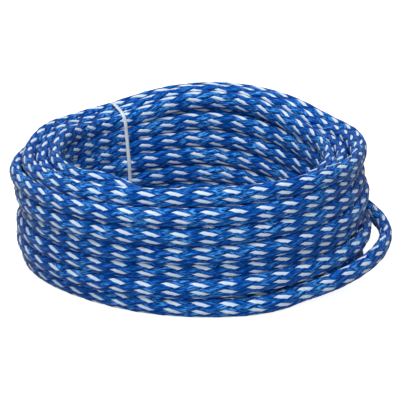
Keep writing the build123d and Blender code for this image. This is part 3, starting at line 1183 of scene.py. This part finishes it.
class CableTie:
    """The tie: its moulded head and pawl from CAD, and a strap that grips the bundle."""

    def __init__(self, sizes: TieSizes, rope: BraidedRope, origin: Vector) -> None:
        """Finds the tie's plane.

        Args:
            sizes: The strap's sizes.
            rope: The rope that it holds.
            origin: The foot of the coil's axis.
        """
        self.sizes, self.rope, self.origin = sizes, rope, np.array(origin)
        low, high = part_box("tie_head")
        head = np.array((low + high) / 2) - self.origin
        self.outward = np.array([head[0], head[1], 0.0]) / math.hypot(head[0], head[1])
        self.sideways = np.cross([0.0, 0.0, 1.0], self.outward)
        self.slot_z, self.head_base = float(head[2]), low.z
        self.wall = self.reach("tie_head").min() + sizes.thick / 2
        self.tail_end = self.reach("tie_strap").max()

    def reach(self, node: str) -> np.ndarray:
        """How far a CAD node's points lie out from the coil's axis, in the tie's plane."""
        points = np.array([v.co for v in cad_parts[node].data.vertices])
        return (points - self.origin) @ self.outward

    def bundle(self) -> np.ndarray:
        """The outline that the strap is pulled round: the turns' hull in the tie's plane.

        Returns:
            Points of the hull, out from the axis and up, counterclockwise.
        """
        rope, half = self.rope, self.sizes.thick / 2
        from_axis = rope.centre - self.origin
        near = (np.abs(from_axis @ self.sideways) < 2 * MM) & (from_axis @ self.outward > 80 * MM)
        near &= from_axis @ self.outward < self.wall
        angle = np.linspace(0, 2 * np.pi, 24, endpoint=False)
        out = (from_axis[near] @ self.outward)[:, None] + rope.thick[near][:, None] * np.cos(angle)
        up = from_axis[near][:, 2][:, None] + rope.wide[near][:, None] * np.sin(angle)
        lowest = self.sizes.floor_gap + 2 * half
        spots = np.stack([np.minimum(out, self.wall - half), np.maximum(up, lowest)], -1)
        spots = np.unique(np.round(spots.reshape(-1, 2), 6), axis=0)
        hull: list[np.ndarray] = []
        for row in (spots, spots[::-1]):
            chain: list[np.ndarray] = []
            for spot in row:
                while len(chain) > 1 and cross(chain[-1] - chain[-2], spot - chain[-1]) <= 0:
                    chain.pop()
                chain.append(spot)
            hull += chain[:-1]
        return np.array(hull)

    def path(self) -> np.ndarray:
        """The strap's middle line: down from the head, round the bundle and out through the head.

        Returns:
            Points out from the axis and up, evenly spaced.
        """
        sizes = self.sizes
        hull = self.bundle()
        ring = resample(np.vstack([hull, hull[:1]]), sizes.pitch)[:-1]
        span = max(3, round(sizes.ease / sizes.pitch) | 1)
        weight = np.hanning(span + 2)[1:-1]
        weight /= weight.sum()
        wrapped = np.concatenate([ring[-span:], ring, ring[:span]])
        eased = np.stack([np.convolve(column, weight, "same") for column in wrapped.T], 1)[span:-span]
        heading = np.roll(eased, -1, axis=0) - np.roll(eased, 1, axis=0)
        heading /= np.linalg.norm(heading, axis=1)[:, None]
        eased += np.stack([heading[:, 1], -heading[:, 0]], 1) * sizes.thick / 2
        near_head = (eased[:, 0] > self.wall - 4 * MM) & (eased[:, 1] > self.head_base)
        near_head &= eased[:, 1] < self.slot_z + sizes.bend
        lowest = int(np.flatnonzero(near_head)[np.argmin(eased[near_head, 1])])
        kept = np.roll(eased, -lowest, axis=0)[::-1][:len(eased) - np.count_nonzero(near_head)]
        quarter = np.linspace(np.pi, 1.5 * np.pi, 7)
        elbow = np.stack([np.cos(quarter), np.sin(quarter)], 1) * sizes.bend
        elbow += (self.wall + sizes.bend, self.slot_z + sizes.bend)
        line = np.vstack([(self.wall, self.head_base), kept, elbow, (self.tail_end, self.slot_z)])
        return resample(line, sizes.pitch)

    def strap(self, material: bpy.types.Material) -> bpy.types.Object:
        """The strap, toothed on the face that lies on the rope.

        Args:
            material: The nylon.

        Returns:
            The strap's mesh.
        """
        sizes = self.sizes
        line = self.path()
        heading = np.gradient(line, axis=0)
        heading /= np.linalg.norm(heading, axis=1)[:, None]
        off = np.stack([-heading[:, 1], heading[:, 0]], 1)
        place = np.arange(len(line)) * sizes.pitch
        valley = sizes.tooth_depth * smooth(2 * np.cos(2 * np.pi * place / sizes.tooth_pitch))
        wide, thick = sizes.width / 2, sizes.thick / 2
        section = [
            (-wide, -thick + sizes.edge), (-wide + sizes.edge, -thick), (wide - sizes.edge, -thick),
            (wide, -thick + sizes.edge), (wide, thick - sizes.edge), (wide - sizes.edge, thick),
            (-wide + sizes.edge, thick), (-wide, thick - sizes.edge),
        ]
        rings = []
        for side, height in section:
            lift = np.full(len(line), height) + (valley if height < 0 and abs(side) < wide else 0.0)
            spot = line + off * lift[:, None]
            rings.append(self.origin + spot[:, :1] * self.outward + self.sideways * side
                         + spot[:, 1:] * np.array([0.0, 0.0, 1.0]))
        across = np.linspace(0, 2 * (sizes.width + sizes.thick), len(section) + 1)
        return skin("tie_band", np.stack(rings, 1), across, place, material)

    def build(self, material: bpy.types.Material) -> None:
        """Makes the strap and gives the CAD head and pawl their finish.

        Args:
            material: The nylon.
        """
        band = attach(self.strap(material), "coil")
        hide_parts("tie_strap")
        for node in ("tie_head", "tie_pawl"):
            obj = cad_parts[node]
            obj.data.materials.clear()
            obj.data.materials.append(material)
        log.info("tie: strap %.0f mm long", len(self.path()) * self.sizes.pitch / MM)


# ---------------------------------------------------------------- the studio
def point_at(name: str, data: bpy.types.ID, spot: Vector, aim: Vector) -> bpy.types.Object:
    """Adds a lamp or a camera that points at something.

    Args:
        name: The object's name.
        data: The lamp's or camera's data.
        spot: Where it stands.
        aim: What it points at.

    Returns:
        The object.
    """
    obj = bpy.data.objects.new(name, data)
    obj.location = spot
    obj.rotation_euler = (aim - obj.location).to_track_quat("-Z", "Y").to_euler()
    bpy.context.scene.collection.objects.link(obj)
    return obj


@dataclass(frozen=True)
class Lamp:
    """A square soft light.

    Attributes:
        name: Its name.
        place: Where it hangs, from the coil's middle.
        size: Its side.
        power: Its power in watts.
        colour: Its colour.
    """

    name: str
    place: Point
    size: float
    power: float
    colour: Colour = (1.0, 1.0, 1.0)

    def hang(self, aim: Vector) -> None:
        """Hangs the lamp.

        Args:
            aim: What it points at.
        """
        light = bpy.data.lights.new(self.name, "AREA")
        light.shape = "SQUARE"
        light.size, light.energy, light.color = self.size, self.power, self.colour
        point_at(self.name, light, aim + Vector(self.place), aim)


@dataclass(frozen=True)
class Studio:
    """Soft daylight over a pale floor, and the camera.

    Attributes:
        elevation: How far the camera looks down, in degrees.
        distance: From the camera to the coil's middle.
        lens: Focal length in millimetres, on a 36 mm sensor.
        shift: How far the picture is moved, as a share of its width.
        sky: Brightness of the light from all round.
        floor_half: Half the floor's side.
        lamps: The soft lights.
    """

    elevation: float = 18.76
    distance: float = 1.703
    lens: float = 226.7
    shift: tuple[float, float] = (0.0188, -0.01)
    sky: float = 0.3
    floor_half: float = 6.0
    lamps: tuple[Lamp, ...] = (
        Lamp("top", (-0.2, -0.5, 1.9), 1.0, 34.0),
        Lamp("front", (-0.1, -2.2, 1.0), 1.0, 15.0, (0.94, 0.97, 1.0)),
    )

    def floor(self, material: bpy.types.Material) -> None:
        """Lays the floor.

        Args:
            material: Its material.
        """
        half = self.floor_half
        mesh = bpy.data.meshes.new("floor")
        corners = [(-half, -half, 0), (half, -half, 0), (half, half, 0), (-half, half, 0)]
        mesh.from_pydata(corners, [], [(0, 1, 2, 3)])
        mesh.materials.append(material)
        obj = bpy.data.objects.new("floor", mesh)
        bpy.context.scene.collection.objects.link(obj)

    def camera(self, aim: Vector) -> None:
        """Sets up the camera.

        Args:
            aim: What it points at.
        """
        data = bpy.data.cameras.new("camera")
        data.lens, data.sensor_width = self.lens, 36.0
        data.shift_x, data.shift_y = self.shift
        data.clip_start, data.clip_end = 0.05, 50.0
        tilt = math.radians(self.elevation)
        spot = aim + Vector((0, -math.cos(tilt), math.sin(tilt))) * self.distance
        bpy.context.scene.camera = point_at("camera", data, spot, aim)

    def build(self, middle: Vector, material: bpy.types.Material) -> None:
        """Builds the floor, the lights, the sky and the camera.

        Args:
            middle: The coil's middle.
            material: The floor's material.
        """
        self.floor(material)
        for lamp in self.lamps:
            lamp.hang(middle)
        bpy.context.scene.view_settings.view_transform = "Standard"
        world = bpy.data.worlds.new("sky")
        world.use_nodes = True
        sky = world.node_tree.nodes["Background"]
        sky.inputs["Color"].default_value = (1.0, 1.0, 1.0, 1.0)
        seen = world.node_tree.nodes.new("ShaderNodeLightPath")
        mixed = world.node_tree.nodes.new("ShaderNodeMapRange")
        mixed.inputs["To Min"].default_value = self.sky
        mixed.inputs["To Max"].default_value = 1.0
        world.node_tree.links.new(seen.outputs["Is Camera Ray"], mixed.inputs["Value"])
        world.node_tree.links.new(mixed.outputs["Result"], sky.inputs["Strength"])
        bpy.context.scene.world = world
        self.camera(middle)


def main() -> None:
    """Builds the rope, the tie and the studio."""
    logging.basicConfig(level=logging.INFO)
    fibres, patches = fibre_group(), patch_group()
    low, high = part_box("rope_coil")
    origin = Vector(((low.x + high.x) / 2, (low.y + high.y) / 2, 0.0))
    middle = origin + Vector((0, 0, 43 * MM))
    paper = PatchyFinish("studio_paper", (0.5, 0.5, 0.5), (0.48, 0.48, 0.485), 0.3, 0.9, 0.9, glow=0.9)
    # The core's near-black blue is painted shade for the hollow braid's inside.
    inside = PatchyFinish("braid_shade_core", (0.002, 0.012, 0.05), (0.004, 0.03, 0.11), 4 * MM, 0.7, 0.85)
    nylon = PatchyFinish(
        "tie_nylon", (0.74, 0.80, 0.86), (0.62, 0.70, 0.78), 3 * MM, 0.25, 0.4,
        relief=0.25, clear=0.12, ior=1.53)
    Studio().build(middle, paper.build(patches))
    layout = CoilLayout(outer_r=(high.x - low.x) / 2, wall=32 * MM, height=high.z)
    route = RopeRoute(layout, origin)
    finishes = {
        # Each yarn has a painted highlight colour for its glint streaks and a painted shade colour for its
        # edges.
        Tone.BLUE: YarnFinish(
            "yarn_blue", painted_glint=(0.10, 0.45, 1.0), fine=(0.0, 0.085, 0.46), base=(0.0, 0.038, 0.28),
            painted_shade=(0.0, 0.010, 0.10), glint=(0.0, 0.45, 1.0)),
        # The white yarn's colours are tinted blue, in part painted bounce light from the blue yarns around
        # it.
        Tone.WHITE: YarnFinish(
            "yarn_white", painted_glint=(0.78, 0.86, 0.94), fine=(0.68, 0.78, 0.90), base=(0.54, 0.67, 0.84),
            painted_shade=(0.12, 0.30, 0.64), glint=(0.8, 0.9, 1.0)),
    }
    finishes = {tone: finish.build(fibres, patches) for tone, finish in finishes.items()}
    rope = BraidedRope(route, BraidSizes())
    rope.build(finishes, inside.build(patches))
    CableTie(TieSizes(), rope, origin).build(nylon.build(patches))


if __name__ == "__main__":
    main()
